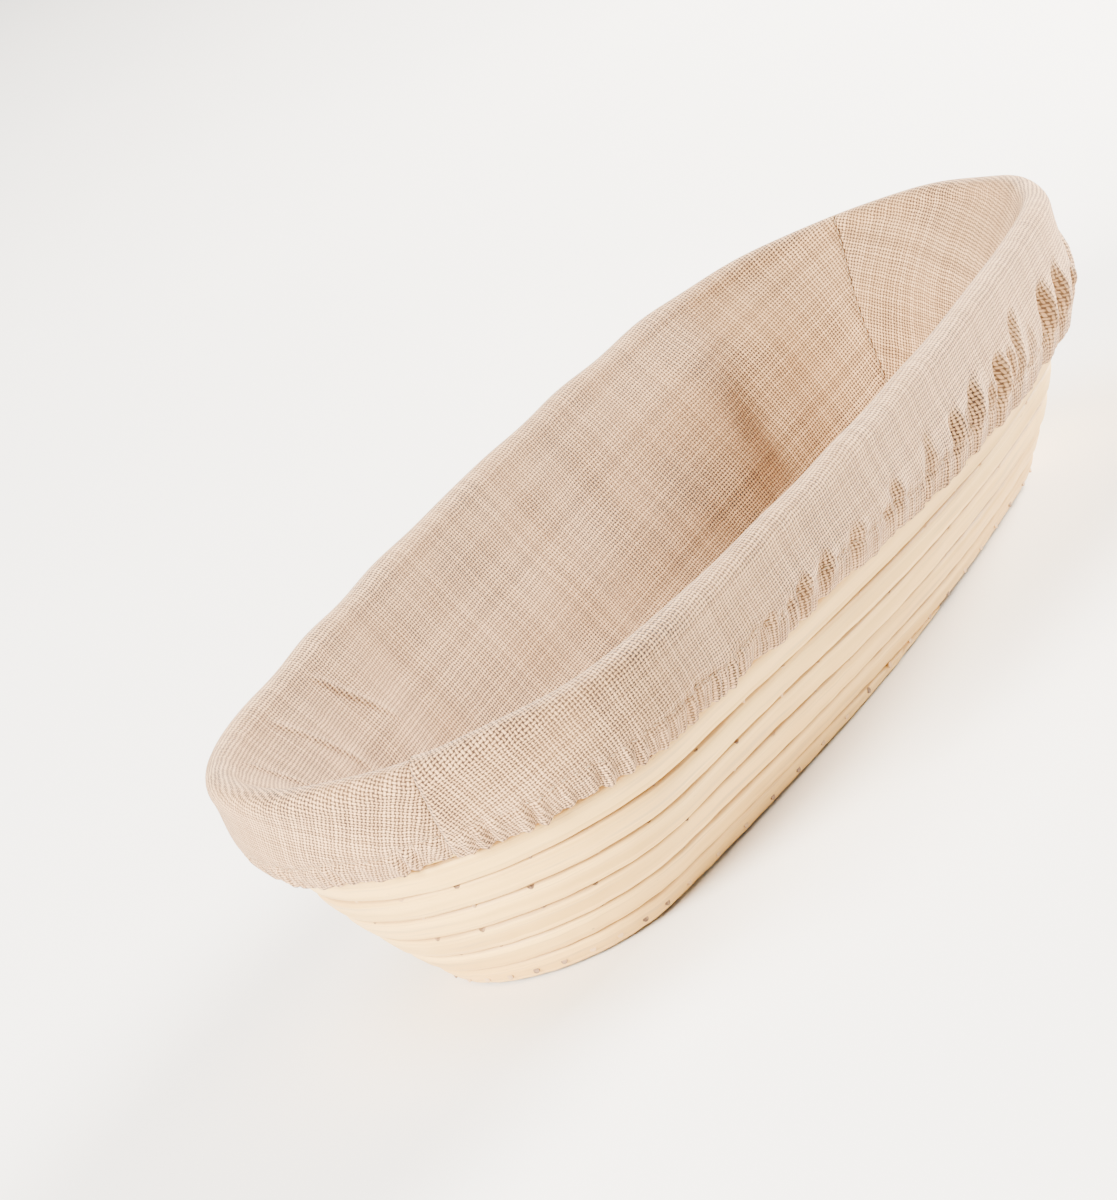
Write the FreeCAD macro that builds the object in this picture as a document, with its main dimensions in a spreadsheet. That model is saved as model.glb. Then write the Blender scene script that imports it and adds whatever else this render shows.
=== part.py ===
import FreeCAD, Part
import math
import os
import Sketcher
from FreeCAD import Vector

# Oblong proofing basket: a coiled cane shell pinned turn to turn, with a removable linen liner folded over
# its rim. Millimetres. X is the length, Y the width, Z up; the origin is the centre of the flat underside.

os.makedirs("parts", exist_ok=True)
doc = FreeCAD.newDocument("proofing_basket")

SIZES = {
    "rim_half_length": 173.5,     # outer cane face at the rim, middle to tip
    "rim_half_width": 73.5,       # outer cane face at the rim, middle to side
    "end_radius": 66.0,           # plan radius of the two rounded ends at the rim
    "cane_thick": 6.0,            # through the wall
    "cane_tall": 8.4,             # along the wall, one coil
    "cane_corner": 1.8,           # rounding of the cane
    "turn_pitch": 8.7,            # from coil to coil along the wall
    "wall_drops": 8.0,            # coil steps from the rim coil down to the foot coil
    "tilt_rim": 14.0,             # lean of the wall at the rim, degrees from upright
    "tilt_foot": 38.5,            # lean of the wall at the foot
    "foot_middle": 4.9,           # height of the middle of the foot coil
    "base_first_inset": 41.4,     # rim face to the middle of the outermost base coil
    "base_pitch": 6.3,            # from coil to coil across the base
    "base_drops": 3.0,            # coil steps from the outermost base coil to the innermost
    "core_inset": 63.6,           # rim face to the edge of the flat core strip
    "pin_radius": 0.5,
    "pin_head_radius": 0.9,
    "pin_head_thick": 0.5,
    "foot_pin_head_radius": 0.8,
    "wall_pin_length": 11.0,
    "foot_pin_length": 11.0,
    "cloth_thick": 0.8,
    "cloth_offset": 3.6,          # middle of the wall to the cloth face next to it
    "cuff_depth": 22.0,           # rim to the bottom of the cuff, along the wall
    "hem_fold": 8.0,              # height of the turned-up hem
    "hem_slot": 0.8,              # room inside the hem for the elastic
    "elastic_tall": 5.0,
    "elastic_thick": 0.4,
    "floor_under": 8.8,           # underside of the floor cloth
    "floor_inset": 35.8,          # rim face to the edge of the floor cloth
    "base_lift": 0.12,            # daylight under the base coils; the core strip carries the middle
    "thread_radius": 0.35,
    "seam_turn": 20.0,            # plan angle of the two end seams away from the long axis, degrees
}


def make_sheet():
    sheet = doc.addObject("Spreadsheet::Sheet", "sizes")
    for row, (name, value) in enumerate(SIZES.items(), start=1):
        sheet.set(f"A{row}", name)
        sheet.set(f"B{row}", str(value))
        sheet.setAlias(f"B{row}", name)
    doc.recompute()
    return sheet


SHEET = make_sheet()


def size(name):
    return float(getattr(SHEET, name))


# ---- plan oval: two end arcs joined by two large side arcs, all tangent ----
HALF_LENGTH, HALF_WIDTH = size("rim_half_length"), size("rim_half_width")
END_RADIUS = size("end_radius")
END_CENTRE = HALF_LENGTH - END_RADIUS
SIDE_CENTRE = (END_CENTRE**2 - (HALF_WIDTH - END_RADIUS) ** 2) / (2 * (HALF_WIDTH - END_RADIUS))
SIDE_RADIUS = HALF_WIDTH + SIDE_CENTRE
JOIN = math.atan2(SIDE_CENTRE, END_CENTRE)  # outward direction where an end arc meets a side arc
JOINS = [JOIN, math.pi - JOIN, math.pi + JOIN, 2 * math.pi - JOIN]


def outward(heading):
    return Vector(math.cos(heading), math.sin(heading), 0)


def along(heading):
    return Vector(-math.sin(heading), math.cos(heading), 0)


def oval(heading, inset, z=0.0):
    """The point of the oval whose outward direction is heading, moved inwards by inset and up to z."""
    if abs(math.cos(heading)) >= math.cos(JOIN):
        centre = Vector(math.copysign(END_CENTRE, math.cos(heading)), 0, z)
        return centre + outward(heading) * (END_RADIUS - inset)
    centre = Vector(0, -math.copysign(SIDE_CENTRE, math.sin(heading)), z)
    return centre + outward(heading) * (SIDE_RADIUS - inset)


def oval_wire(inset, z, start, stop):
    """Arcs of the oval between two headings, anticlockwise seen from above."""
    whole = 2 * math.pi * math.floor(start / (2 * math.pi))
    start, stop = start - whole, stop - whole
    turns = [j + 2 * math.pi * k for k in (0, 1) for j in JOINS]
    marks = [start] + sorted(m for m in turns if start < m < stop) + [stop]
    arcs = []
    for a, b in zip(marks, marks[1:]):
        arcs.append(Part.Arc(*(oval(h, inset, z) for h in (a, (a + b) / 2, b))).toShape())
    return Part.Wire(arcs)


# ---- wall profile: one arc leaning out from foot to rim ----
PITCH = size("turn_pitch")
WALL_RUN = size("wall_drops") * PITCH
TILT_RIM, TILT_FOOT = math.radians(size("tilt_rim")), math.radians(size("tilt_foot"))
WALL_RADIUS = WALL_RUN / (TILT_FOOT - TILT_RIM)
WALL_AXIS_Z = size("foot_middle") + WALL_RADIUS * math.sin(TILT_FOOT)
WALL_AXIS_INSET = size("cane_thick") / 2 + WALL_RADIUS * math.cos(TILT_RIM)


def wall_tilt(run):
    return TILT_RIM + run / WALL_RADIUS


def wall_at(run, off=0.0):
    """(inset, z) on the wall profile, run millimetres down from the rim coil and off outside it."""
    tilt, radius = wall_tilt(run), WALL_RADIUS + off
    return WALL_AXIS_INSET - radius * math.cos(tilt), WALL_AXIS_Z - radius * math.sin(tilt)


def run_at_height(z, off):
    return (math.asin((WALL_AXIS_Z - z) / (WALL_RADIUS + off)) - TILT_RIM) * WALL_RADIUS


# ---- one turn round the basket, by length: from the -X tip along the -Y side ----
END_QUARTER = END_RADIUS * JOIN
SIDE_LENGTH = SIDE_RADIUS * (math.pi - 2 * JOIN)
ROUND = 4 * END_QUARTER + 2 * SIDE_LENGTH
LEGS = [(END_QUARTER, JOIN), (SIDE_LENGTH, math.pi - 2 * JOIN), (2 * END_QUARTER, 2 * JOIN),
        (SIDE_LENGTH, math.pi - 2 * JOIN), (END_QUARTER, JOIN)]
STEP_START = (END_QUARTER + 0.08 * SIDE_LENGTH) / ROUND  # each coil drops one pitch along the -Y side
STEP_STOP = (END_QUARTER + 0.92 * SIDE_LENGTH) / ROUND


def heading_at(turn):
    part, heading = (turn - math.floor(turn)) * ROUND, math.pi + 2 * math.pi * math.floor(turn)
    for length, sweep in LEGS:
        if part <= length:
            return heading + sweep * part / length
        part, heading = part - length, heading + sweep
    return heading


def drop_at(turn):
    """Whole coils dropped since turn 0, with each drop spread along the -Y side."""
    share = (turn - math.floor(turn) - STEP_START) / (STEP_STOP - STEP_START)
    share = min(max(share, 0.0), 1.0)
    return math.floor(turn) - 1 + share * share * (3 - 2 * share)


BASE_MIDDLE = size("base_lift") + size("cane_tall") / 2


def cane_section(turn, middle, half_u, half_v, axis_u, axis_v):
    """Rounded section of cane across the coil; u runs outwards through it and v along its height."""
    heading = heading_at(turn)
    corner = min(size("cane_corner"), 0.9 * half_u, 0.9 * half_v)
    centre = oval(heading, *middle)
    across = outward(heading) * axis_u[0] + Vector(0, 0, axis_u[1])
    tall = outward(heading) * axis_v[0] + Vector(0, 0, axis_v[1])

    def spot(u, v):
        return centre + across * u + tall * v

    edges = []
    for su, sv in ((1, 1), (-1, 1), (-1, -1), (1, -1)):
        cu, cv, lean = su * (half_u - corner), sv * (half_v - corner), corner * math.sqrt(0.5)
        ends = [spot(su * half_u, cv), spot(cu, sv * half_v)]
        if su * sv < 0:
            ends.reverse()
        arc = Part.Arc(ends[0], spot(cu + su * lean, cv + sv * lean), ends[1]).toShape()
        if edges:
            edges.append(Part.makeLine(edges[-1].Curve.value(edges[-1].LastParameter), ends[0]))
        edges.append(arc)
    first = edges[0].Curve.value(edges[0].FirstParameter)
    edges.append(Part.makeLine(edges[-1].Curve.value(edges[-1].LastParameter), first))
    return Part.Wire(edges)


def wall_section(turn):
    """Section of a wall coil. The first and last coils taper where the coil next to them steps past."""
    top, bottom = max(drop_at(turn), 0.0) - 0.5, min(drop_at(turn), size("wall_drops")) + 0.5
    if drop_at(turn) < 0:
        bottom = drop_at(turn) + 0.5
    if drop_at(turn) > size("wall_drops"):
        top = drop_at(turn) - 0.5
    gap = (PITCH - size("cane_tall")) / 2
    middle_run, half_v = (top + bottom) / 2 * PITCH, (bottom - top) / 2 * PITCH - gap
    tilt = wall_tilt(middle_run)
    return cane_section(turn, wall_at(middle_run), size("cane_thick") / 2, half_v,
                        (math.cos(tilt), -math.sin(tilt)), (-math.sin(tilt), -math.cos(tilt)))


def base_section(turn):
    """Section of a base coil, upright on the table."""
    outer, inner = max(drop_at(turn) - 0.5, -0.5), min(drop_at(turn) + 0.5, size("base_drops") + 0.5)
    gap = (size("base_pitch") - size("cane_thick")) / 2
    inset = size("base_first_inset") + (outer + inner) / 2 * size("base_pitch")
    half_u = (inner - outer) / 2 * size("base_pitch") - gap
    return cane_section(turn, (inset, BASE_MIDDLE), half_u, size("cane_tall") / 2, (1, 0), (0, 1))


JOINT_GAP = 0.3 / ROUND  # daylight between two lengths of cane, as a share of a turn


def level_stretch(section, start, stop):
    guide = oval_wire(0, 0, heading_at(start), heading_at(stop))
    return guide.makePipeShell([section(start)], True, False)


def step_stretch(section, start, stop):
    count = max(4, round((stop - start) * 50))
    sections = [section(start + (stop - start) * k / count) for k in range(count + 1)]
    return Part.makeLoft(sections, True, False)


def make_cane(label, section, start, stop):
    """One length of cane: level round the basket and stepping one pitch on the -Y side."""
    begin, end = start + JOINT_GAP / 2, stop - JOINT_GAP / 2
    pieces = []
    for turn in range(math.floor(begin) - 1, math.ceil(end) + 1):
        for build, low, high in ((step_stretch, turn + STEP_START, turn + STEP_STOP),
                                 (level_stretch, turn + STEP_STOP, turn + 1 + STEP_START)):
            low, high = max(low, begin), min(high, end)
            if high - low > 1e-6:
                pieces.append(build(section, low, high))
    cane = doc.addObject("Part::Feature", label)
    cane.Label = label
    cane.Shape = pieces[0].multiFuse(pieces[1:]) if len(pieces) > 1 else pieces[0]
    cane.Placement = FreeCAD.Placement()
    return cane


def taper_ends(drops):
    """Turns at which a coil starts and stops: partway along its step, where it is thinned to a blunt tip."""
    share = 0.3 * (STEP_STOP - STEP_START)
    return STEP_START + share, size(drops) + 1 + STEP_STOP - share


def make_wall():
    """Four lengths of cane coil down from the rim to the foot, butted end to end along the +Y side."""
    first, last = taper_ends("wall_drops")
    cuts = [first, 2.86, 4.78, 6.72, last]
    for k, (start, stop) in enumerate(zip(cuts, cuts[1:]), start=1):
        make_cane(f"wall_cane_{k}", wall_section, start, stop)


def make_base():
    """Two lengths of cane coil inwards across the base to the core strip."""
    first, last = taper_ends("base_drops")
    cuts = [first, 2.75, last]
    for k, (start, stop) in enumerate(zip(cuts, cuts[1:]), start=1):
        make_cane(f"base_cane_{k}", base_section, start, stop)


# ---- pads on the plan oval ----
def plane_of(body, role):
    return next(f for f in body.Origin.OriginFeatures if f.Role == role)


def oval_sketch(body, name, inset):
    """The plan oval moved inwards by inset, as four tangent arcs held by the sheet."""
    sketch = body.newObject("Sketcher::SketchObject", name)
    sketch.AttachmentSupport = (plane_of(body, "XY_Plane"), "")
    sketch.MapMode = "FlatFace"
    normal, quarter = Vector(0, 0, 1), math.pi / 2
    spans = [(Vector(END_CENTRE, 0, 0), END_RADIUS - inset, -JOIN, JOIN),
             (Vector(0, -SIDE_CENTRE, 0), SIDE_RADIUS - inset, JOIN, 2 * quarter - JOIN),
             (Vector(-END_CENTRE, 0, 0), END_RADIUS - inset, 2 * quarter - JOIN, 2 * quarter + JOIN),
             (Vector(0, SIDE_CENTRE, 0), SIDE_RADIUS - inset, 2 * quarter + JOIN, 4 * quarter - JOIN)]
    for centre, radius, start, stop in spans:
        sketch.addGeometry(Part.ArcOfCircle(Part.Circle(centre, normal, radius), start, stop))
    for k in range(4):
        sketch.addConstraint(Sketcher.Constraint("Tangent", k, 2, (k + 1) % 4, 1))
    for k in (0, 2):
        sketch.addConstraint(Sketcher.Constraint("PointOnObject", k, 3, -1))
    sketch.addConstraint(Sketcher.Constraint("Equal", 0, 2))
    radius = sketch.addConstraint(Sketcher.Constraint("Radius", 0, END_RADIUS - inset))
    sketch.renameConstraint(radius, "end_radius")
    reach = "sizes.rim_half_length - sizes.end_radius"
    rise = "sizes.rim_half_width - sizes.end_radius"
    side = f"(({reach})^2 - ({rise})^2) / (2 * ({rise}))"
    held = [("reach_east", "DistanceX", (-1, 1, 0, 3), END_CENTRE, reach),
            ("reach_west", "DistanceX", (2, 3, -1, 1), END_CENTRE, reach),
            ("side_south", "DistanceY", (1, 3, -1, 1), SIDE_CENTRE, side),
            ("side_north", "DistanceY", (-1, 1, 3, 3), SIDE_CENTRE, side)]
    for name, kind, ends, value, rule in held:
        index = sketch.addConstraint(Sketcher.Constraint(kind, *ends, value))
        sketch.renameConstraint(index, name)
        sketch.setExpression("Constraints." + name, rule)
    return sketch


def oval_pad(label, inset, inset_rule, thick, thick_rule, under_rule):
    body = doc.addObject("PartDesign::Body", label)
    body.Label = label
    sketch = oval_sketch(body, label + "_outline", inset)
    sketch.setExpression("Constraints.end_radius", "sizes.end_radius - (" + inset_rule + ")")
    pad = body.newObject("PartDesign::Pad", label + "_pad")
    pad.Profile = sketch
    pad.Length = thick
    pad.setExpression("Length", thick_rule)
    doc.recompute()
    body.setExpression("Placement.Base.z", under_rule)
    return body


def make_core():
    return oval_pad("base_core", size("core_inset"), "sizes.core_inset", size("cane_tall"),
                    "sizes.cane_tall", "0")


FLOOR_TOP = size("floor_under") + size("cloth_thick")
INNER = -(size("cloth_offset") + size("cloth_thick"))  # inner face of the liner, from the middle of the wall
FLOOR_INSET = size("floor_inset")


def make_floor():
    return oval_pad("liner_floor", FLOOR_INSET, "sizes.floor_inset", size("cloth_thick"),
                    "sizes.cloth_thick", "sizes.floor_under")


# ---- pins ----
def pin(foot, direction, length, head_radius):
    """A brad: its head sits at foot and its shank runs in the direction given."""
    shank = Part.makeCylinder(size("pin_radius"), length, foot, direction)
    head = Part.makeCylinder(head_radius, size("pin_head_thick"), foot, direction)
    return shank.fuse(head)


def group(label, solids):
    item = doc.addObject("Part::Feature", label)
    item.Label = label
    item.Shape = Part.makeCompound(solids)
    item.Placement = FreeCAD.Placement()
    return item


def make_wall_pins():
    """Brads driven down the wall through each coil into the next, staggered from coil to coil."""
    pins = []
    for row in range(int(size("wall_drops")) - 1):
        for k in range(20):
            turn = row + 1 + (k + 0.45 * row % 1.0) / 20
            run = (drop_at(turn) + 0.5) * PITCH
            if run > WALL_RUN - 2 * PITCH:
                continue
            heading = heading_at(turn)
            inset, z = wall_at(run + 0.3, 1.6)
            tilt = wall_tilt(run + 5)
            down = outward(heading) * -math.sin(tilt) + Vector(0, 0, -math.cos(tilt))
            pins.append(pin(oval(heading, inset, z), down, size("wall_pin_length"),
                            size("pin_head_radius")))
    return group("pins_wall", pins)


def make_foot_pins():
    """A close row of brads through the foot coil into the outermost base coil."""
    pins = []
    for k in range(60):
        heading = heading_at(k / 60)
        inset, z = wall_at(WALL_RUN, size("cane_thick") / 2 + 0.15)
        pins.append(pin(oval(heading, inset, z), -outward(heading), size("foot_pin_length"),
                        size("foot_pin_head_radius")))
    return group("pins_foot", pins)


def make_base_pins():
    """Brads joining neighbouring base coils, buried in them."""
    pins = []
    for row in range(int(size("base_drops")) - 1):
        for k in range(10):
            turn = row + 1 + (k + 0.5 * (row % 2)) / 10
            heading = heading_at(turn)
            inset = size("base_first_inset") + (drop_at(turn) + 0.1) * size("base_pitch") - 2.0
            pins.append(pin(oval(heading, inset, BASE_MIDDLE), -outward(heading), size("base_pitch"),
                            size("foot_pin_head_radius")))
    return group("pins_base", pins)


# ---- liner ----
SEAM = math.radians(size("seam_turn"))
CUFF_END = size("cuff_depth")
ROLL = -1.5  # run at which the cloth leaves the wall to roll over the rim


def at_heading(heading, spot):
    inset, z = spot
    return oval(heading, inset, z)


def sweep(label, profile_wire, guide_wire):
    """A Part::Sweep of a closed profile along a plan guide; both guides read their sizes from the sheet."""
    profile = doc.addObject("Part::Feature", label + "_profile")
    profile.Shape = profile_wire
    guide = doc.addObject("Part::Feature", label + "_guide")
    guide.Shape = guide_wire
    item = doc.addObject("Part::Sweep", label)
    item.Label = label
    item.Sections = [profile]
    item.Spine = (guide, [f"Edge{k + 1}" for k in range(len(guide_wire.Edges))])
    item.Solid = True
    item.Frenet = False
    return item


def wall_curve(heading, off, start, stop):
    runs = (start, (start + stop) / 2, stop)
    return Part.Arc(*(at_heading(heading, wall_at(run, off)) for run in runs)).toShape()


def bend(heading, run, off_a, off_b, way):
    """Half-round fold between two offsets at one run; way is -1 upwards, 1 downwards."""
    mid, half = (off_a + off_b) / 2, abs(off_a - off_b) / 2
    tilt = wall_tilt(run)
    inset, z = wall_at(run, mid)
    top = (inset + way * half * math.sin(tilt), z - way * half * math.cos(tilt))
    ends = [at_heading(heading, wall_at(run, off)) for off in (off_a, off_b)]
    return Part.Arc(ends[0], at_heading(heading, top), ends[1]).toShape()


def panel_profile(heading):
    """Cloth up the inside, over the rim, down the outside and turned up again into the hem."""
    near, far = size("cloth_offset"), size("cloth_offset") + size("cloth_thick")
    slot = far + size("hem_slot")
    outer = slot + size("cloth_thick")
    hem_top = CUFF_END - size("hem_fold")
    floor_run = run_at_height(FLOOR_TOP - size("cloth_thick") / 2, -far)
    under_run = run_at_height(FLOOR_TOP - size("cloth_thick") / 2, -near)
    ends = [at_heading(heading, wall_at(floor_run, -far)),
            at_heading(heading, wall_at(under_run, -near))]
    hem = [at_heading(heading, wall_at(hem_top, off)) for off in (slot, outer)]
    return Part.Wire([
        wall_curve(heading, -far, floor_run, ROLL),
        bend(heading, ROLL, -far, far, -1),
        wall_curve(heading, far, ROLL, CUFF_END),
        bend(heading, CUFF_END, far, slot, 1),
        wall_curve(heading, slot, CUFF_END, hem_top),
        Part.makeLine(hem[0], hem[1]),
        wall_curve(heading, outer, hem_top, CUFF_END),
        bend(heading, CUFF_END, outer, near, 1),
        wall_curve(heading, near, CUFF_END, ROLL),
        bend(heading, ROLL, near, -near, -1),
        wall_curve(heading, -near, ROLL, under_run),
        Part.makeLine(ends[1], ends[0]),
    ])


def make_panels():
    slit = 0.15 / HALF_LENGTH
    for label, start in (("liner_panel_front", SEAM + math.pi), ("liner_panel_back", SEAM)):
        start, stop = start + slit, start + math.pi - slit
        sweep(label, panel_profile(start), oval_wire(0, 0, start, stop))


def make_elastic():
    """A closed band lying in the hem."""
    middle = size("cloth_offset") + size("cloth_thick") + size("hem_slot") / 2
    half = size("elastic_thick") / 2
    low, high = CUFF_END - 0.5, CUFF_END - 0.5 - size("elastic_tall")
    corners = [wall_at(low, middle - half), wall_at(low, middle + half),
               wall_at(high, middle + half), wall_at(high, middle - half)]
    points = [at_heading(math.pi, c) for c in corners]
    return sweep("liner_elastic", Part.makePolygon(points + points[:1]), closed_guide())


def closed_guide():
    return oval_wire(0, 0, math.pi, 3 * math.pi)


def thread_circle(centre, direction):
    return Part.Wire(Part.Circle(centre, direction, size("thread_radius")).toShape())


def make_ring_thread(label, spot):
    return sweep(label, thread_circle(at_heading(math.pi, spot), along(math.pi)), closed_guide())


def make_threads():
    floor_spot = (FLOOR_INSET + 0.25, FLOOR_TOP + 0.1)
    make_ring_thread("thread_floor_seam", floor_spot)
    outer = size("cloth_offset") + 2 * size("cloth_thick") + size("hem_slot")
    make_ring_thread("thread_hem", wall_at(CUFF_END - size("hem_fold") + 2, outer))
    solids = []
    for heading in (SEAM, SEAM + math.pi):
        start = run_at_height(FLOOR_TOP + 1.5, INNER)
        path = Part.Wire([wall_curve(heading, INNER, start, ROLL), bend(heading, ROLL, INNER, -INNER, -1),
                          wall_curve(heading, -INNER, ROLL, CUFF_END - size("hem_fold") - 1)])
        edge = path.Edges[0]
        ring = thread_circle(edge.valueAt(edge.FirstParameter), edge.tangentAt(edge.FirstParameter))
        solids.append(path.makePipeShell([ring], True, False))
    return group("thread_end_seams", solids)


make_wall()
make_base()
make_core()
make_wall_pins()
make_foot_pins()
make_base_pins()
make_floor()
make_panels()
make_elastic()
make_threads()
doc.recompute()

NODES = ["wall_cane_1", "wall_cane_2", "wall_cane_3", "wall_cane_4", "base_cane_1", "base_cane_2", "base_core",
         "pins_wall", "pins_foot", "pins_base", "liner_floor", "liner_panel_front", "liner_panel_back",
         "liner_elastic", "thread_floor_seam", "thread_end_seams", "thread_hem"]


def check_and_export():
    for item in doc.Objects:
        if any(word in item.State for word in ("Invalid", "Error")):
            raise RuntimeError(f"{item.Label}: {item.State}")
    parts = {label: doc.getObjectsByLabel(label)[0].Shape for label in NODES}
    for label, shape in parts.items():
        if shape.isNull() or not shape.isValid() or not shape.Solids:
            raise RuntimeError(f"{label} is not a valid solid")
    for label, shape in parts.items():
        shape.exportStep(f"parts/{label}.step")
        box = shape.optimalBoundingBox(False, False)
        print(f"{label}: {len(shape.Solids)} solids, {shape.Volume:.0f} mm3, "
              f"z {box.ZMin:.2f} to {box.ZMax:.2f}, x {box.XMin:.1f} to {box.XMax:.1f}")


check_and_export()
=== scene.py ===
import math

import bpy
import numpy as np
from mathutils import Matrix, Vector


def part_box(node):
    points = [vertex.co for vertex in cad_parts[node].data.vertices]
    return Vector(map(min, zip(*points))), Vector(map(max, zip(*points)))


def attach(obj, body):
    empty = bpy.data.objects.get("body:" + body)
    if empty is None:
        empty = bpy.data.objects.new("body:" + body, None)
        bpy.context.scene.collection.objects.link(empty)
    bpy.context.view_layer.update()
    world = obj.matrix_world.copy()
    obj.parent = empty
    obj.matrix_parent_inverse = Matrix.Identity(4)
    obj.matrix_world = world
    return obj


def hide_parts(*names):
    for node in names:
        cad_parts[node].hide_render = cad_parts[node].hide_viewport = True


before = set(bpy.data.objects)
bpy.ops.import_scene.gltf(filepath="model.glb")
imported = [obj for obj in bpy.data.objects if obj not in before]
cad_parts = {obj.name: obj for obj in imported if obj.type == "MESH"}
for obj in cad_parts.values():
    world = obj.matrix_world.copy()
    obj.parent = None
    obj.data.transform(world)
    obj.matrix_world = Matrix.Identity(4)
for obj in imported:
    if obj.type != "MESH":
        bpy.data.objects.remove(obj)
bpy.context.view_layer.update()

MM = 0.001

# ---- shape of the basket, in millimetres, the same rules as the CAD frame ----
CORE_INSET = 63.6
CORE_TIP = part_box("base_core")[1] / MM
HALF_LENGTH, HALF_WIDTH = CORE_TIP.x + CORE_INSET, CORE_TIP.y + CORE_INSET
END_RADIUS = 66.0
THICK, TALL, PITCH, DROPS = 6.0, 8.4, 8.7, 8
TILT_RIM, TILT_FOOT = math.radians(14), math.radians(38.5)
FOOT_MIDDLE = 4.9
BASE_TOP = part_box("base_cane_1")[1].z / MM
BASE_FIRST, BASE_PITCH, BASE_DROPS = 41.4, 6.3, 3
FLOOR_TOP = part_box("liner_floor")[1].z / MM
FLOOR_INSET = HALF_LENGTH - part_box("liner_floor")[1].x / MM

END_CENTRE = HALF_LENGTH - END_RADIUS
SIDE_CENTRE = (END_CENTRE**2 - (HALF_WIDTH - END_RADIUS) ** 2) / (2 * (HALF_WIDTH - END_RADIUS))
SIDE_RADIUS = HALF_WIDTH + SIDE_CENTRE
JOIN = math.atan2(SIDE_CENTRE, END_CENTRE)
WALL_RADIUS = DROPS * PITCH / (TILT_FOOT - TILT_RIM)
AXIS_Z = FOOT_MIDDLE + WALL_RADIUS * math.sin(TILT_FOOT)
AXIS_INSET = THICK / 2 + WALL_RADIUS * math.cos(TILT_RIM)
END_QUARTER, SIDE_LENGTH = END_RADIUS * JOIN, SIDE_RADIUS * (math.pi - 2 * JOIN)
ROUND = 4 * END_QUARTER + 2 * SIDE_LENGTH
STEP_START = (END_QUARTER + 0.08 * SIDE_LENGTH) / ROUND
STEP_STOP = (END_QUARTER + 0.92 * SIDE_LENGTH) / ROUND
LENGTH_MARKS = np.cumsum([0, END_QUARTER, SIDE_LENGTH, 2 * END_QUARTER, SIDE_LENGTH, END_QUARTER]) / ROUND
HEADING_MARKS = np.array([math.pi, math.pi + JOIN, 2 * math.pi - JOIN, 2 * math.pi + JOIN,
                          3 * math.pi - JOIN, 3 * math.pi])


def smooth(x, low=0.0, high=1.0):
    x = np.clip((x - low) / (high - low), 0, 1)
    return x * x * (3 - 2 * x)


def hump(x, middle, width):
    return np.exp(-(((x - middle) / width) ** 2))


def heading_at(turn):
    """Outward direction at a turn count: 0 at the -X tip, going along the -Y side first."""
    whole = np.floor(turn)
    return 2 * math.pi * whole + np.interp(turn - whole, LENGTH_MARKS, HEADING_MARKS)


def drop_at(turn):
    whole = np.floor(turn)
    return whole - 1 + smooth(turn - whole, STEP_START, STEP_STOP)


def oval(heading, inset, z):
    end = np.abs(np.cos(heading)) >= math.cos(JOIN)
    reach = np.where(end, END_RADIUS, SIDE_RADIUS) - inset
    x = np.where(end, np.copysign(END_CENTRE, np.cos(heading)), 0) + reach * np.cos(heading)
    y = np.where(end, 0, -np.copysign(SIDE_CENTRE, np.sin(heading))) + reach * np.sin(heading)
    return np.stack(np.broadcast_arrays(x, y, z), axis=-1)


def wall_at(run, off):
    """(inset, z) run millimetres down the wall from the rim coil and off millimetres outside its middle."""
    tilt = TILT_RIM + run / WALL_RADIUS
    return AXIS_INSET - (WALL_RADIUS + off) * np.cos(tilt), AXIS_Z - (WALL_RADIUS + off) * np.sin(tilt)


def wander(seed, x, wavelength, strands=5):
    """Smooth seeded wander of about unit size along x."""
    rng = np.random.default_rng(seed)
    waves = [np.sin(2 * math.pi * x / (wavelength * rng.uniform(0.6, 1.7)) + rng.uniform(0, 2 * math.pi))
             for _ in range(strands)]
    return sum(waves) / math.sqrt(strands / 2)


def round_wander(seed, turn, cycles, strands=5):
    """Seeded wander that meets itself after a whole turn."""
    rng = np.random.default_rng(seed)
    waves = [np.sin(2 * math.pi * turn * max(1, round(cycles * rng.uniform(0.6, 1.5))) + rng.uniform(0, 6.3))
             for _ in range(strands)]
    return sum(waves) / math.sqrt(strands / 2)


# ---- meshes ----
def add_object(name, mesh, body, material, stands_for=()):
    obj = bpy.data.objects.new(name, mesh)
    bpy.context.scene.collection.objects.link(obj)
    mesh.materials.append(material)
    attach(obj, body)
    if stands_for:
        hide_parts(*stands_for)
    return obj


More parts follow.
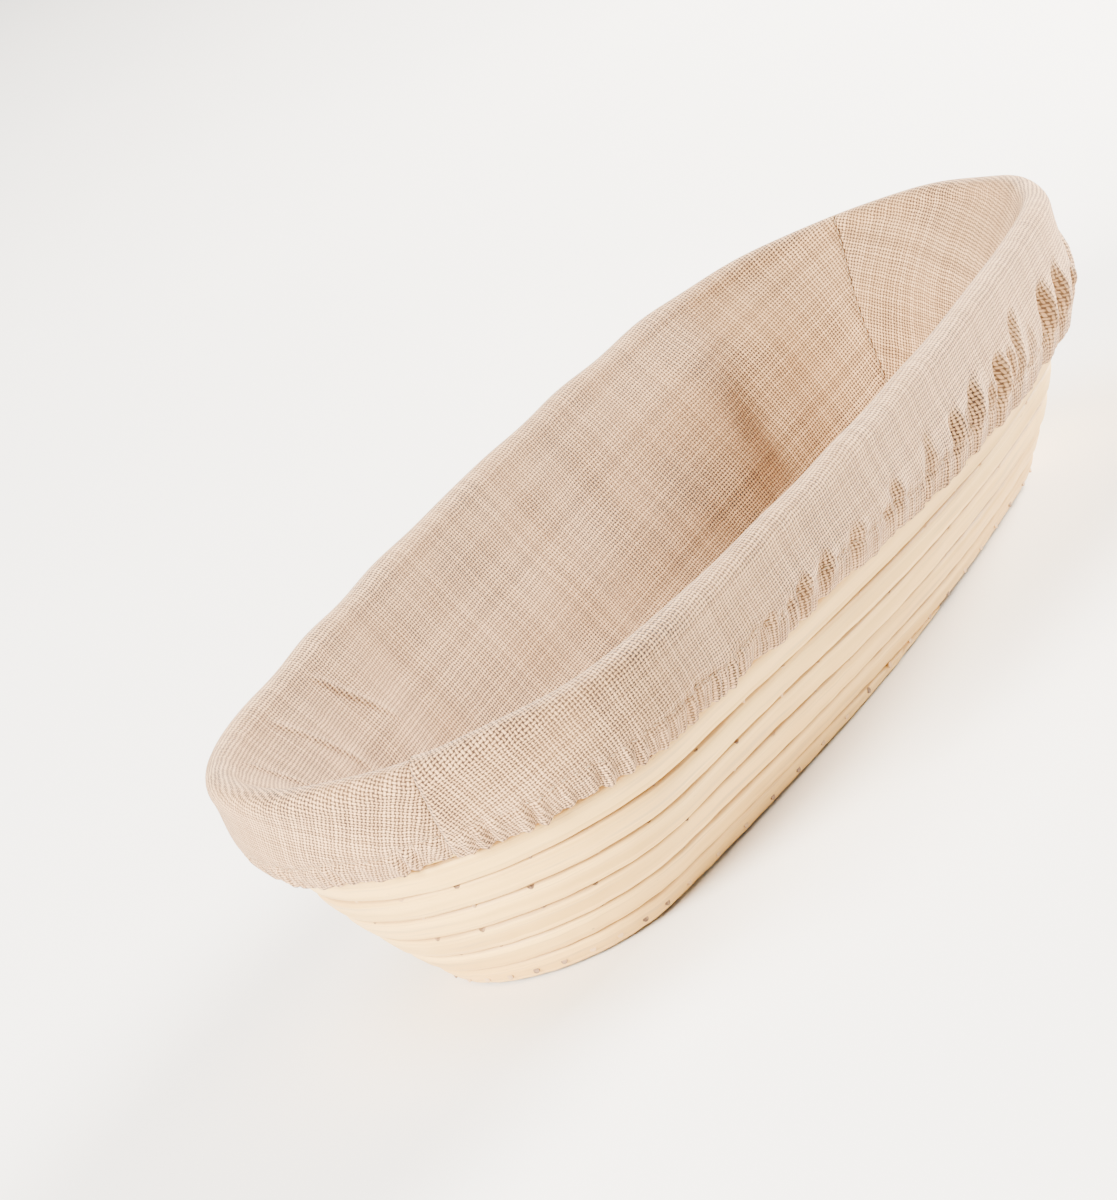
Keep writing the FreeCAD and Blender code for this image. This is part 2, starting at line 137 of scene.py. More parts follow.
def grid_mesh(name, points, u, v, closed=False, caps=False, flip=False):
    """Quads over a grid of points[i, j] in millimetres, with u, v lengths in millimetres as the UV map.
    closed joins the last j to the first; u and v then hold one column more than points."""
    rows, cols = points.shape[:2]
    i, j = np.meshgrid(np.arange(rows - 1), np.arange(cols if closed else cols - 1), indexing="ij")
    k = (j + 1) % cols
    quads = np.stack([i * cols + j, i * cols + k, (i + 1) * cols + k, (i + 1) * cols + j], axis=-1)
    quads = quads.reshape(-1, 4)
    wide = u.shape[1]
    corners = np.stack([i * wide + j, i * wide + j + 1, (i + 1) * wide + j + 1, (i + 1) * wide + j],
                       axis=-1).reshape(-1, 4)
    if flip:
        quads, corners = quads[:, ::-1], corners[:, ::-1]
    faces = quads.tolist()
    if caps:
        faces += [list(range(cols))[::-1], list(range((rows - 1) * cols, rows * cols))]
    mesh = bpy.data.meshes.new(name)
    mesh.from_pydata((points.reshape(-1, 3) * MM).tolist(), [], faces)
    layer = mesh.uv_layers.new(name="lengths")
    flat = np.zeros((len(mesh.loops), 2), np.float32)
    uv = np.stack([u, v], axis=-1).reshape(-1, 2) * MM
    flat[: corners.size] = uv[corners.ravel()]
    layer.data.foreach_set("uv", flat.ravel())
    mesh.polygons.foreach_set("use_smooth", np.ones(len(mesh.polygons), bool))
    mesh.update()
    return mesh


# ---- materials ----
class Nodes:
    """A short way to write a node tree."""

    def __init__(self, name):
        self.material = bpy.data.materials.new(name)
        self.material.use_nodes = True
        self.tree = self.material.node_tree
        self.shader = self.tree.nodes["Principled BSDF"]

    def add(self, kind, **settings):
        node = self.tree.nodes.new("ShaderNode" + kind)
        for key, value in settings.items():
            setattr(node, key, value)
        return node

    def link(self, value, socket):
        if isinstance(value, bpy.types.NodeSocket):
            self.tree.links.new(value, socket)
        else:
            socket.default_value = value

    def math(self, operation, *values):
        node = self.add("Math", operation=operation)
        for value, socket in zip(values, node.inputs):
            self.link(value, socket)
        return node.outputs[0]

    def coordinates(self, uv):
        node = self.add("TexCoord")
        split = self.add("SeparateXYZ")
        self.link(node.outputs["UV" if uv else "Object"], split.inputs[0])
        return split.outputs

    def vector(self, x, y, z=0.0):
        node = self.add("CombineXYZ")
        for value, socket in zip((x, y, z), node.inputs):
            self.link(value, socket)
        return node.outputs[0]

    def noise(self, vector, scale, detail=2.0):
        node = self.add("TexNoise")
        self.link(vector, node.inputs["Vector"])
        node.inputs["Scale"].default_value = scale
        node.inputs["Detail"].default_value = detail
        return node.outputs["Fac"]

    def ramp(self, value, low, high, a, b):
        """a below low, b above high, smooth in between; a and b are numbers or colours."""
        node = self.add("MapRange", interpolation_type="SMOOTHSTEP")
        self.link(value, node.inputs["Value"])
        node.inputs["From Min"].default_value, node.inputs["From Max"].default_value = low, high
        if isinstance(a, (int, float)):
            node.inputs["To Min"].default_value, node.inputs["To Max"].default_value = a, b
            return node.outputs["Result"]
        return self.mix(node.outputs["Result"], a, b)

    def mix(self, share, a, b, blend="MIX"):
        node = self.add("Mix", data_type="RGBA", blend_type=blend)
        self.link(share, node.inputs["Factor"])
        for value, socket in ((a, node.inputs[6]), (b, node.inputs[7])):
            self.link(value if isinstance(value, bpy.types.NodeSocket) else (*value, 1.0), socket)
        return node.outputs[2]

    def finish(self, colour, roughness, height=None, depth=0.0002, sheen=0.0):
        self.link(colour, self.shader.inputs["Base Color"])
        self.link(roughness, self.shader.inputs["Roughness"])
        self.shader.inputs["Sheen Weight"].default_value = sheen
        if height is not None:
            bump = self.add("Bump")
            bump.inputs["Distance"].default_value = depth
            self.link(height, bump.inputs["Height"])
            self.link(bump.outputs[0], self.shader.inputs["Normal"])
        return self.material


def cane_material(name, uv=True):
    """Pale peeled cane: fine lengthwise fibres, slow tone changes and a few small brown marks."""
    n = Nodes(name)
    along, across, height = n.coordinates(uv)
    if not uv:
        across = n.math("ADD", across, n.math("MULTIPLY", height, 1.7))
    fibre = n.noise(n.vector(n.math("MULTIPLY", along, 18), n.math("MULTIPLY", across, 1500)), 1.0, 4)
    streak = n.noise(n.vector(n.math("MULTIPLY", along, 6), n.math("MULTIPLY", across, 320)), 1.0, 3)
    slow = n.noise(n.vector(n.math("MULTIPLY", along, 14), n.math("MULTIPLY", across, 60)), 1.0, 2)
    speck = n.noise(n.vector(n.math("MULTIPLY", along, 160), n.math("MULTIPLY", across, 900)), 1.0, 2)
    colour = n.ramp(streak, 0.36, 0.64, (0.66, 0.40, 0.105), (0.86, 0.55, 0.165))
    colour = n.mix(n.ramp(slow, 0.35, 0.7, 0.0, 0.35), colour, (0.92, 0.645, 0.23))
    colour = n.mix(n.ramp(fibre, 0.28, 0.5, 0.8, 0.0), colour, (0.56, 0.36, 0.15))
    colour = n.mix(n.ramp(speck, 0.735, 0.78, 0.0, 0.7), colour, (0.33, 0.20, 0.10))
    if uv:                                     # painted shade: the two faces that meet the next coils are darkened for the shadow in the gaps between coils
        half = n.math("FRACT", n.math("DIVIDE", across, (THICK + TALL) * MM))
        aside = n.math("ABSOLUTE", n.math("SUBTRACT", half, 0.5))
        colour = n.mix(n.ramp(aside, 0.12, 0.235, 0.75, 0.0), colour, (0.42, 0.25, 0.10))
    rough = n.ramp(streak, 0.3, 0.7, 0.62, 0.46)
    relief = n.math("ADD", n.math("MULTIPLY", fibre, 0.6), n.math("MULTIPLY", streak, 0.7))
    return n.finish(colour, rough, relief, 0.00022)


PITCH_ROUND, PITCH_UP = 1.08 * MM, 0.95 * MM      # thread spacing in the linen


def weave_threads(n, mine, other, first):
    """One family of threads, passing over and under the other: its height and a tone for each thread."""
    index = n.math("FLOOR", mine)
    gauge = n.add("TexWhiteNoise", noise_dimensions="1D")
    n.link(n.math("ADD", index, 0.0 if first else 31.7), gauge.inputs["W"])
    half = n.math("ADD", 0.29, n.math("MULTIPLY", gauge.outputs["Value"], 0.1))
    side = n.math("DIVIDE", n.math("SUBTRACT", n.math("FRACT", mine), 0.5), half)
    body = n.math("SQRT", n.math("MAXIMUM", n.math("SUBTRACT", 1.0, n.math("MULTIPLY", side, side)), 0.0))
    phase = n.math("MULTIPLY", n.math("ADD", n.math("SUBTRACT", other, 0.5), index), math.pi)
    wave = n.math("MULTIPLY", n.math("COSINE", phase), 0.34 if first else -0.34)
    return n.math("MULTIPLY", body, n.math("ADD", 0.62, wave)), gauge.outputs["Value"]


def weave_material(name, pale, dark, gap_shade):
    """Loose plain weave drawn from the cloth lengths: round threads with gaps where they cross, the gaps and
    the low parts of the threads filled with painted shade.
    """
    n = Nodes(name)
    u, v, _ = n.coordinates(True)
    place = n.vector(u, v)
    round_cells = n.math("ADD", n.math("DIVIDE", u, PITCH_ROUND), n.noise(place, 210, 4))
    up_cells = n.math("ADD", n.math("DIVIDE", v, PITCH_UP), n.noise(n.vector(v, u, 0.37), 210, 4))
    height_a, tone_a = weave_threads(n, round_cells, up_cells, True)
    height_b, tone_b = weave_threads(n, up_cells, round_cells, False)
    height, fuzz = n.math("MAXIMUM", height_a, height_b), n.noise(place, 5200, 2)
    tone = n.math("MULTIPLY", n.math("ADD", tone_a, tone_b), 0.15)
    tone = n.math("ADD", tone, n.math("MULTIPLY", fuzz, 0.7))
    # painted shade: where the threads cross and where they pass under, the colour fades to the near-black
    # shade of the gaps
    colour = n.mix(n.ramp(height, 0.3, 0.8, 0.0, 1.0), gap_shade, n.ramp(tone, 0.25, 0.78, dark, pale))
    colour = n.mix(n.ramp(n.noise(place, 34, 3), 0.35, 0.7, 0.0, 0.22), colour, dark)
    relief = n.math("ADD", height, n.math("MULTIPLY", fuzz, 0.25))
    return n.finish(colour, 0.93, relief, 0.00024, sheen=0.1)


def brad_material():
    """Small brads: some heads are bare and tarnished, the others are dulled with pale filler."""
    n = Nodes("brad_brown")
    x, y, z = n.coordinates(False)
    tarnish = n.noise(n.vector(x, y, z), 900, 3)
    colour = n.ramp(tarnish, 0.35, 0.65, (0.10, 0.055, 0.03), (0.27, 0.17, 0.10))
    filled = n.ramp(n.noise(n.vector(x, y, z), 22, 1), 0.47, 0.53, 0.0, 0.8)
    colour = n.mix(filled, colour, (0.70, 0.46, 0.22))
    n.shader.inputs["Metallic"].default_value = 0.2
    return n.finish(colour, n.ramp(tarnish, 0.3, 0.7, 0.42, 0.75), tarnish, 0.00008)


def elastic_material():
    n = Nodes("elastic_ribbed")
    u, v, _ = n.coordinates(True)
    rib = n.math("SINE", n.math("MULTIPLY", v, 2 * math.pi / (0.7 * MM)))
    knit = n.math("SINE", n.math("MULTIPLY", u, 2 * math.pi / (1.1 * MM)))
    relief = n.math("ADD", rib, n.math("MULTIPLY", knit, 0.5))
    # painted shade: the grooves between ribs and knit loops are coloured darker, following the relief
    colour = n.ramp(relief, -1.0, 1.2, (0.55, 0.53, 0.50), (0.86, 0.84, 0.80))
    return n.finish(colour, 0.72, relief, 0.00012)


def thread_material():
    """Twisted sewing thread: slanting plies along each stitch."""
    n = Nodes("thread_twisted")
    u, v, _ = n.coordinates(True)
    ply = n.math("SINE", n.math("ADD", n.math("MULTIPLY", u, 2 * math.pi / (0.55 * MM)),
                                n.math("MULTIPLY", v, 2 * math.pi / (0.63 * MM))))
    # painted shade: the grooves between the plies are coloured darker, following the relief
    colour = n.ramp(ply, -0.9, 0.9, (0.38, 0.24, 0.13), (0.68, 0.46, 0.26))
    return n.finish(colour, 0.85, ply, 0.00010)


CANE = cane_material("cane_peeled")
CANE_FLAT = cane_material("cane_flat", uv=False)
# the last colour is painted shade for the gaps between the threads
LINEN = weave_material("linen_outer", (0.82, 0.505, 0.255), (0.50, 0.275, 0.115), (0.035, 0.015, 0.007))
BRAD, ELASTIC, THREAD = brad_material(), elastic_material(), thread_material()


# ---- cane ----
SECTION_POINTS = 26
SQUARENESS = 4.4                 # power of the section's oval: 2 is an ellipse, more is squarer
JOINT_GAP = 0.3                  # daylight between two lengths of cane
GIRTH = 2 * (THICK + TALL)


def cane_mesh(name, start, stop, wall, seed):
    """One length of cane with a squarish oval section, swaying a little along its length."""
    count = max(8, round((stop - start) * ROUND / 3.2))
    turn = np.linspace(start + JOINT_GAP / 2 / ROUND, stop - JOINT_GAP / 2 / ROUND, count)[:, None]
    angle = (np.arange(SECTION_POINTS) + 0.5) / SECTION_POINTS * 2 * math.pi
    su, sv = (np.sign(wave) * np.abs(wave) ** (2 / SQUARENESS) for wave in (np.cos(angle), np.sin(angle)))
    drops = DROPS if wall else BASE_DROPS
    drop, length = drop_at(turn), turn * ROUND
    high = np.where(drop > drops, drop, np.maximum(drop, 0)) - 0.5
    low = np.where(drop < 0, drop, np.minimum(drop, drops)) + 0.5
    middle, share = (high + low) / 2, low - high
    sway = 0.16 * wander(seed, length, 95) + 0.05 * wander(seed + 50, length, 17)
    heading = heading_at(turn)
    if wall:
        run, half_v = middle * PITCH, share * PITCH / 2 - (PITCH - TALL) / 2
        tilt = TILT_RIM + run / WALL_RADIUS
        inset, z = wall_at(run, 0)
        u, v = su * THICK / 2 + sway, sv * half_v
        out, up = u * np.cos(tilt) - v * np.sin(tilt), -u * np.sin(tilt) - v * np.cos(tilt)
    else:
        half_u = share * BASE_PITCH / 2 - (BASE_PITCH - THICK) / 2
        inset, z = BASE_FIRST + middle * BASE_PITCH, BASE_TOP - TALL / 2
        out, up = su * half_u, sv * TALL / 2
    points = oval(heading, inset - out, z + up)
    girth = (np.arange(SECTION_POINTS + 1) + 0.5) * GIRTH / SECTION_POINTS
    along = np.repeat(length, SECTION_POINTS + 1, axis=1)
    across = np.broadcast_to(girth, along.shape)
    return grid_mesh(name, points, along, across, closed=True, caps=True, flip=wall)


def taper_turns(drops):
    share = 0.3 * (STEP_STOP - STEP_START)
    return STEP_START + share, drops + 1 + STEP_STOP - share


def add_canes(kind, cuts, wall, seed):
    for k, (start, stop) in enumerate(zip(cuts, cuts[1:]), start=1):
        mesh = cane_mesh(f"{kind}_{k}_strip", start, stop, wall, seed + k)
        add_object(f"{kind}_{k}_strip", mesh, "shell", CANE, [f"{kind}_{k}"])


def add_shell():
    first, last = taper_turns(DROPS)
    add_canes("wall_cane", [first, 2.86, 4.78, 6.72, last], True, 11)
    first, last = taper_turns(BASE_DROPS)
    add_canes("base_cane", [first, 2.75, last], False, 31)
    for node in ("base_core", "pins_wall", "pins_foot", "pins_base"):
        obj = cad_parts[node]
        obj.data.materials.clear()
        obj.data.materials.append(CANE_FLAT if node == "base_core" else BRAD)


# ---- liner ----
SEAM_TURN = math.radians(20) * END_RADIUS / ROUND
CLOTH = 0.8                      # thickness
LAY = 4.0                        # middle of the cloth from the middle of the wall, lying on it
ROLL = -1.5                      # run where the cloth leaves the wall to roll over the rim
FLOOR_RUN = (math.asin((AXIS_Z - FLOOR_TOP + 0.2) / (WALL_RADIUS - LAY)) - TILT_RIM) * WALL_RADIUS
HEM_NEAR, HEM_FAR = 17.6, 26.2   # how far down the cuff reaches at the -X end and at the +X end
HEM_RISE = 8.0                   # height of the layer turned up inside
HEM_STITCH = 6.4                 # stitch line above the hem edge
CUT_LEAN = 0.27                  # how fast the grain turns against the rim


def hem_run(turn):
    """How far down the cuff reaches; it follows the coil step along the -Y side."""
    part = turn - np.floor(turn)
    share = np.where(part < 0.5, smooth(part, STEP_START, STEP_STOP), smooth(1 - part, STEP_START, STEP_STOP))
    ragged = 0.16 * round_wander(71, turn, 120) + 0.35 * round_wander(72, turn, 30)
    return HEM_NEAR + (HEM_FAR - HEM_NEAR) * share + ragged


def endness(turn):
    """1 at the two ends, fading out along the sides."""
    from_tip = (0.25 - np.abs((turn % 0.5) - 0.25)) * ROUND
    return 1 - smooth(from_tip, 10, 165)


def far_part(turn):
    """1 on the -Y side towards the +X end, where the cuff is pulled into long folds."""
    return hump((turn + 0.14) % 1 - 0.14, 0.34, 0.17)


def furrows(turn, share):
    """Folds that fan up from the gathered hem: deeper and longer towards the +X end of the -Y side."""
    rng = np.random.default_rng(8)
    place, depth = (turn - np.floor(turn)) * ROUND, 0.0
    for _ in range(80):
        centre = rng.uniform(0, ROUND)
        far = float(far_part(centre / ROUND))
        reach = rng.uniform(0.25, 0.4) * (1 - far) + rng.uniform(0.5, 0.9) * far
        width = rng.uniform(1.2, 2.0) + 0.5 * far
        lean = rng.normal(0, 3.0) + 9.0 * far
        strength = 0.35 * rng.uniform(0.5, 1.1) + 3.6 * far * rng.uniform(0.2, 1.0) ** 1.4
        gone = (place - centre - lean * (1 - share) ** 1.5 + ROUND / 2) % ROUND - ROUND / 2
        reach_share = smooth(share, 1 - reach, 1 - 0.7 * reach)
        reach_share = reach_share * (1 - (0.3 + 0.5 * far) * smooth(share, 0.6, 0.95))
        fold = 0.5 * hump(gone, 2.1 * width, width) - hump(gone, 0, width)
        depth = depth + strength * reach_share * fold
    return depth


def fine_gathers(turn):
    """Small puckers along the elastic, flatter where the long folds are."""
    return (0.5 - 0.4 * far_part(turn)) * round_wander(88, turn, 190, 7)


def inside_slack(turn, up, run):
    """How far the cloth stands off the inside wall; up goes from 0 at the floor to 1 at the rim."""
    slack = (1.2 + 9.0 * endness(turn)) * np.sin(math.pi * up**1.35) ** 1.1
    ripple = 0.3 * round_wander(81, turn + 0.03 * up, 22) + 0.5 * wander(82, run + 90 * turn, 40) + 0.7
    slack = slack + smooth(up, 0.04, 0.3) * smooth(1 - up, 0.0, 0.15) * ripple
    for place, length in ((-0.149, 30), (-0.118, 34), (-0.086, 26)):     # pressed creases down from the rim
        crease = hump(((turn + 0.5) % 1 - 0.5 - place + 0.0006 * run) * ROUND, 0, 1.2)
        slack = slack + 0.65 * crease * smooth(length - run, 0, 16) * smooth(1 - up, 0, 0.06)
    return np.maximum(slack, 0)


def rim_roll(turn, share):
    """(run, off) of the cloth over the rim, from 0 on the inside to 1 on the outside."""
    angle = share * math.pi
    high = 4.6 + 0.22 * round_wander(86, turn, 16) * np.sin(angle)
    puffed = (0.25 + 0.175 * round_wander(85, turn, 9)) * np.sign(-np.cos(angle))
    return ROLL - high * np.sin(angle), puffed * np.sin(angle) ** 2 - LAY * np.cos(angle)


def cuff_lift(turn, down, run):
    """How far the cuff stands off the wall; down goes from 0 at the rim to 1 at the edge of the hem."""
    lift = 2.3 * smooth(down, 0.05, 0.8) + np.sin(math.pi * down) + 0.35 * round_wander(87, turn, 14) * down
    lift = lift + 1.3 * far_part(turn) * smooth(down, 0.2, 0.7)
    lift = lift + furrows(turn, down) + smooth(down, 0.5, 0.9) * fine_gathers(turn)
    lift = lift - 0.5 * hump(run, hem_run(turn) - HEM_STITCH, 0.9)
    return np.maximum(lift, 0.1 + 1.65 * smooth(down, 0.5, 0.66))


def cloth_profile(turn, rows):
    """(run, off) grids of the cloth. turn is a column; rows counts 0 to 1 up the inside, to 2 over the rim,
    to 3 down the cuff, to 4 round the bottom of the hem and to 5 up the turned-in layer."""
    rows, hem = rows[None, :] + 0 * turn, hem_run(turn)
    up, roll, down, bend, tuck = (np.clip(rows - k, 0, 1) for k in range(5))
    inside, outside = FLOOR_RUN + (ROLL - FLOOR_RUN) * up, ROLL + (hem - ROLL) * down
    inner = LAY - 0.05
    half = (cuff_lift(turn, 1 + 0 * turn, hem) + 0.05) / 2
    stages = [(inside, -LAY - inside_slack(turn, up, inside)),
              rim_roll(turn, roll),
              (outside, LAY + cuff_lift(turn, down, outside)),
              (hem + 0.9 * half * np.sin(math.pi * bend), inner + half + half * np.cos(math.pi * bend)),
              (hem - HEM_RISE * tuck, inner + 0 * rows)]
    stage = np.clip(np.ceil(rows) - 1, 0, 4).astype(int)
    return tuple(np.choose(stage, values) for values in zip(*stages))


PROFILE_ROWS = np.concatenate([
    np.linspace(0, 1, 84, endpoint=False), np.linspace(1, 2, 16, endpoint=False),
    np.linspace(2, 3, 30, endpoint=False), np.linspace(3, 4, 8, endpoint=False), np.linspace(4, 5, 8)])


def cut_cloth(turn, past_rim):
    """Where each point lies on the flat cloth. The wall leans outwards, so a panel is cut as an arc and its
    grain only runs along the rim at the panel's middle."""
    heading = heading_at(turn)
    bend = CUT_LEAN * (heading.mean() - heading)
    step = np.diff(turn, axis=0, prepend=turn[:1]) * ROUND
    x, y = np.cumsum(np.cos(bend) * step, axis=0), np.cumsum(np.sin(bend) * step, axis=0)
    return x - past_rim * np.sin(bend), y + past_rim * np.cos(bend)


def add_panel(name, start, stop, node):
    """Half of the liner wall. Its cut edges curl in along the end seams; the front panel stands proud at
    its start."""
    count = round((stop - start) * ROUND / 0.95)
    turn = np.linspace(start, stop, count)[:, None]
    run, off = cloth_profile(turn, PROFILE_ROWS)
    from_start, from_stop = (turn - start) * ROUND, (stop - turn) * ROUND
    outside = smooth(PROFILE_ROWS[None, :], 1.2, 1.8) * (PROFILE_ROWS[None, :] <= 3.5)
    inside = 1 - smooth(PROFILE_ROWS[None, :], 1.0, 1.6)
    proud = 1.5 if node == "liner_panel_front" else 0.0
    off = off + outside * proud * np.exp(-from_start / 9) * smooth(from_start, -0.4, 1.2)
    run = run - proud * 0.7 * hump(PROFILE_ROWS[None, :], 1.6, 0.5) * np.exp(-from_start / 6)
    edges = hump(from_stop, 0, 1.6) + (proud == 0) * hump(from_start, 0, 1.6)
    off = off - (outside - inside) * 0.55 * edges
    inset, z = wall_at(run, off)
    points = oval(heading_at(turn), inset, z)
    step = np.linalg.norm(np.diff(points, axis=1), axis=2)
    v = np.concatenate([np.zeros((count, 1)), np.cumsum(step, axis=1)], axis=1)
    v = np.broadcast_to(v.mean(axis=0, keepdims=True), v.shape)
    mesh = grid_mesh(name, points, *cut_cloth(turn, v - np.interp(1.5, PROFILE_ROWS, v[0])))
    obj = add_object(name, mesh, "liner", LINEN, [node])
    thicken(obj)


def thicken(obj):
    solid = obj.modifiers.new("cloth", "SOLIDIFY")
    solid.thickness, solid.offset = CLOTH * MM, 0.0


def add_floor():
    """The floor cloth: rows run from the seam in to the middle line."""
    turn = np.linspace(0, 1, 361)[:, None]
    share = np.linspace(0, 1, 24)[None, :]
    edge = oval(heading_at(turn[:, 0]), FLOOR_INSET - 0.5, 0.0)
    spine = np.stack([np.clip(edge[:, 0], -END_CENTRE, END_CENTRE), 0 * edge[:, 0], 0 * edge[:, 0]], axis=-1)
    points = edge[:, None, :] * (1 - share[..., None]) + spine[:, None, :] * share[..., None]
    x, y = points[..., 0], points[..., 1]
    ripple = 0.5 + 0.25 * wander(91, x + 0.4 * y, 46) + 0.25 * wander(92, y - 0.3 * x, 33)
    points[..., 2] = FLOOR_TOP - CLOTH / 2 + np.clip(ripple, 0, 2) * smooth(share, 0.02, 0.3)
    mesh = grid_mesh("liner_floor_cloth", points, x + 500, y + 500)
    thicken(add_object("liner_floor_cloth", mesh, "liner", LINEN, ["liner_floor"]))


def add_elastic():
    turn = np.linspace(0, 1, 721)[:, None]
    low, flutter = hem_run(turn) - 0.6, 0.05 * wander(95, turn * ROUND, 9)
    corners = [(0, 4.75), (0, 5.05), (2.5, 5.05), (5, 5.05), (5, 4.75), (2.5, 4.75)]
    points = np.concatenate([oval(heading_at(turn), *wall_at(low - rise, off + flutter))
                             for rise, off in corners], axis=1)
    girth = np.array([0, 0.3, 2.8, 5.3, 5.6, 8.1, 10.6])[None, :] + 0 * turn
    mesh = grid_mesh("liner_elastic_band", points, turn * ROUND + 0 * girth, girth, closed=True)
    add_object("liner_elastic_band", mesh, "liner", ELASTIC, ["liner_elastic"])


# ---- stitches ----
def add_thread(name, paths, radius, node):
    """Round stitches that dip at both ends. paths holds (start, end, lift) triples in millimetres."""
    stations, sides = 7, 6
    share, ring = np.linspace(0, 1, stations), np.arange(sides + 1) / sides * 2 * math.pi
    i, j = np.meshgrid(np.arange(stations - 1), np.arange(sides), indexing="ij")
    k = (j + 1) % sides
    quads = np.stack([i * sides + j, i * sides + k, (i + 1) * sides + k, (i + 1) * sides + j], axis=-1)
    quads = quads.reshape(-1, 4)
    caps = [list(range(sides))[::-1], list(range((stations - 1) * sides, stations * sides))]
    corner_share = share[np.stack([i, i, i + 1, i + 1], axis=-1).ravel()]
    corner_ring = ring[np.stack([j, j + 1, j + 1, j], axis=-1).ravel()]
    vertices, faces, uvs = [], [], []
    for start, end, lift in paths:
        length = np.linalg.norm(end - start)
        side = np.cross((end - start) / length, lift)
        side /= np.linalg.norm(side)
        up = np.cross(side, (end - start) / length)
        dip = (0.35 * np.sin(math.pi * share) - 0.25)[:, None]
        middle = start + (end - start) * share[:, None] + up * dip
        size = radius * np.sin(math.pi * (0.12 + 0.76 * share))[:, None, None]
        loop = np.cos(ring[:-1])[:, None] * side + np.sin(ring[:-1])[:, None] * up
        first = len(vertices)
        vertices += ((middle[:, None] + size * loop).reshape(-1, 3) * MM).tolist()
        faces += (quads + first).tolist() + [[first + corner for corner in cap] for cap in caps]
        uvs += np.stack([corner_share * length, corner_ring * radius], axis=-1).tolist()
        uvs += [[0.0, 0.0]] * (2 * sides)
    mesh = bpy.data.meshes.new(name)
    mesh.from_pydata(vertices, [], faces)
    mesh.uv_layers.new(name="lengths").data.foreach_set("uv", (np.array(uvs, np.float32) * MM).ravel())
    mesh.polygons.foreach_set("use_smooth", np.ones(len(mesh.polygons), bool))
    add_object(name, mesh, "liner", THREAD, [node])


def cloth_point(turn, row, off):
    """A point of the cloth at one turn and row, moved off millimetres outwards."""
    turn = np.array([[turn]])
    run, lies = cloth_profile(turn, np.array([row]))
    return oval(heading_at(turn), *wall_at(run, lies + off))[0, 0]


def add_floor_seam(count=200):
    paths = []
    for k in range(count):
        ends = [oval(heading_at(np.array((k + part) / count)), FLOOR_INSET + 0.3, FLOOR_TOP + 0.25)
                for part in (0.14, 0.86)]
        paths.append((*ends, np.array([0, 0, 1.0])))
    add_thread("floor_seam_stitches", paths, 0.3, "thread_floor_seam")


def add_hem_stitches(count=260):
    paths = []
    for k in range(count):
        turns = [(k + part) / count for part in (0.2, 0.8)]
        rows = [3 - HEM_STITCH / (float(hem_run(np.array(turn))) - ROLL) for turn in turns]
        ends = [cloth_point(turn, row, 0.5) for turn, row in zip(turns, rows)]
        heading = float(heading_at(np.array(turns[1])))
        paths.append((*ends, np.array([math.cos(heading), math.sin(heading), 0.3])))
    add_thread("hem_stitches", paths, 0.27, "thread_hem")


def add_end_seams():
    """Stitches along the two end seams, from the floor up, over the rim and down to the hem."""
    rows = np.concatenate([np.linspace(0.03, 1, 60), np.linspace(1, 2, 16)[1:], np.linspace(2, 2.97, 30)[1:]])
    face = np.where(rows < 1.5, -0.35, 0.35)
    paths = []
    for seam in (SEAM_TURN, 0.5 + SEAM_TURN):
        turn = np.array([[seam]])
        run, off = cloth_profile(turn, rows)
        line = oval(heading_at(turn), *wall_at(run, off + face))[0]
        core = oval(heading_at(turn), *wall_at(run, 0 * off))[0]
        length = np.concatenate([[0], np.cumsum(np.linalg.norm(np.diff(line, axis=0), axis=1))])

        def at(curve, where):
            return np.array([np.interp(where, length, curve[:, axis]) for axis in range(3)])

        for where in np.arange(1.5, length[-1] - 3, 3.2):
            start = at(line, where)
            paths.append((start, at(line, where + 2.3), start - at(core, where + 1.1)))
    add_thread("end_seam_stitches", paths, 0.26, "thread_end_seams")


def add_liner():
    gap = 0.2 / ROUND
    add_panel("liner_front_cloth", SEAM_TURN + gap, SEAM_TURN + 0.5 - gap, "liner_panel_front")
    add_panel("liner_back_cloth", SEAM_TURN + 0.5 + gap, SEAM_TURN + 1 - gap, "liner_panel_back")
    add_floor()
    add_elastic()
    add_floor_seam()
    add_hem_stitches()
    add_end_seams()


# ---- studio ----
def add_light(name, place, target, size, power, colour):
    light = bpy.data.lights.new(name, "AREA")
    light.shape, light.size, light.energy, light.color = "DISK", size, power, colour
    obj = bpy.data.objects.new(name, light)
    bpy.context.scene.collection.objects.link(obj)
    obj.location = place
    obj.rotation_euler = (Vector(target) - obj.location).to_track_quat("-Z", "Y").to_euler()


def add_floor_plane(reach=6.0, sunk=0.0004):
    """A pale floor just under the basket."""
    n = Nodes("studio_floor")
    x, y, z = n.coordinates(False)
    mottle = n.noise(n.vector(x, y, z), 3.0, 2)
    n.finish(n.ramp(mottle, 0.3, 0.7, (0.90, 0.89, 0.88), (0.93, 0.92, 0.91)), 0.8)
    mesh = bpy.data.meshes.new("studio_floor")
    corners = [(x * reach, y * reach, 0) for x, y in ((-1, -1), (1, -1), (1, 1), (-1, 1))]
    mesh.from_pydata(corners, [], [(0, 1, 2, 3)])
    mesh.materials.append(n.material)
    floor = bpy.data.objects.new("studio_floor", mesh)
    bpy.context.scene.collection.objects.link(floor)
    floor.location.z = -sunk


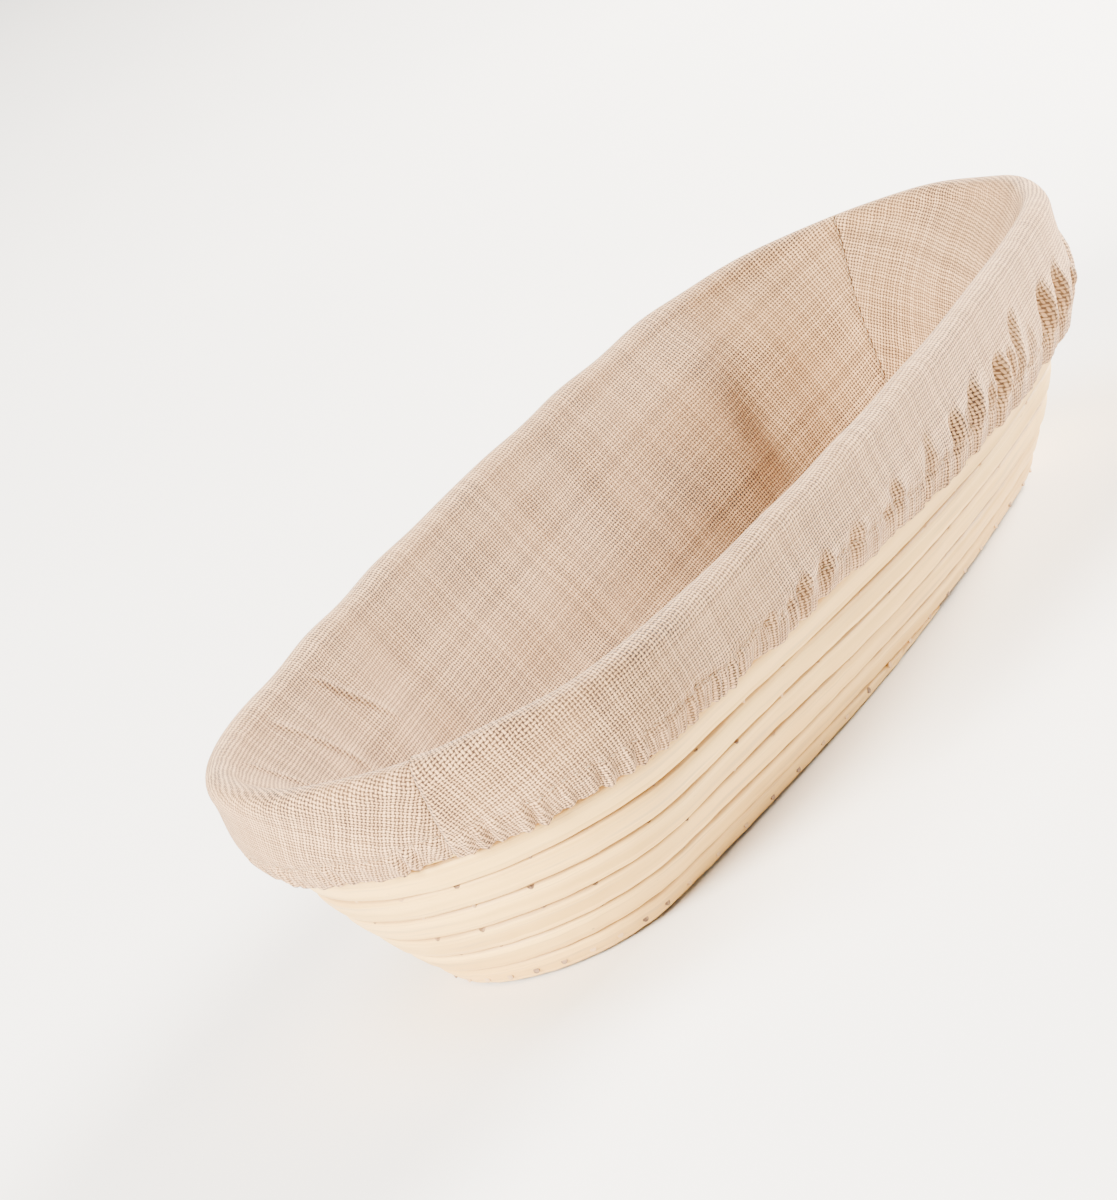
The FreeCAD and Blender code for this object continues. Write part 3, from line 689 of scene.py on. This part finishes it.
def add_world(light=0.44, seen_as=1.3):
    """Even light from all round, with the backdrop itself shown paler than the light it gives."""
    world = bpy.data.worlds.new("studio")
    world.use_nodes = True
    nodes, links = world.node_tree.nodes, world.node_tree.links
    nodes["Background"].inputs["Color"].default_value = (1.0, 0.985, 0.97, 1)
    strength = nodes.new("ShaderNodeMapRange")
    strength.inputs["To Min"].default_value, strength.inputs["To Max"].default_value = light, seen_as
    links.new(nodes.new("ShaderNodeLightPath").outputs["Is Camera Ray"], strength.inputs["Value"])
    links.new(strength.outputs["Result"], nodes["Background"].inputs["Strength"])
    bpy.context.scene.world = world


def add_studio():
    add_floor_plane()
    add_world()
    add_light("key", (-1.7, 0.2, 0.8), (0, 0, 0.03), 0.8, 195, (1.0, 0.94, 0.84))
    add_light("far_side", (1.7, -0.45, 0.7), (0.05, 0, 0.03), 0.7, 285, (1.0, 0.94, 0.84))
    add_light("top", (-0.3, 0.6, 2.0), (0, 0, 0), 1.4, 68, (1.0, 0.97, 0.93))


def add_camera():
    """Long lens, low, looking along the basket from its -X end with the camera rolled."""
    azimuth, elevation, roll = math.radians(-53.61), math.radians(16.48), math.radians(-25.3)
    distance, lens = 1.36177, 158.25
    aim_right, aim_down, look_at = 0.03574, -0.00742, Vector((0, 0, 0.04))
    back = Vector((math.sin(azimuth) * math.cos(elevation), -math.cos(azimuth) * math.cos(elevation),
                   math.sin(elevation)))
    right = (-back).cross(Vector((0, 0, 1))).normalized()
    up = right.cross(-back)
    right, up = (right * math.cos(roll) + up * math.sin(roll), up * math.cos(roll) - right * math.sin(roll))
    data = bpy.data.cameras.new("camera")
    data.lens, data.sensor_width = lens, 36.0
    camera = bpy.data.objects.new("camera", data)
    bpy.context.scene.collection.objects.link(camera)
    place = look_at - right * aim_right + up * aim_down + back * distance
    turned = Matrix((right, up, back)).transposed().to_4x4()
    camera.matrix_world = Matrix.Translation(place) @ turned
    bpy.context.scene.camera = camera


add_shell()
add_liner()
add_studio()
add_camera()
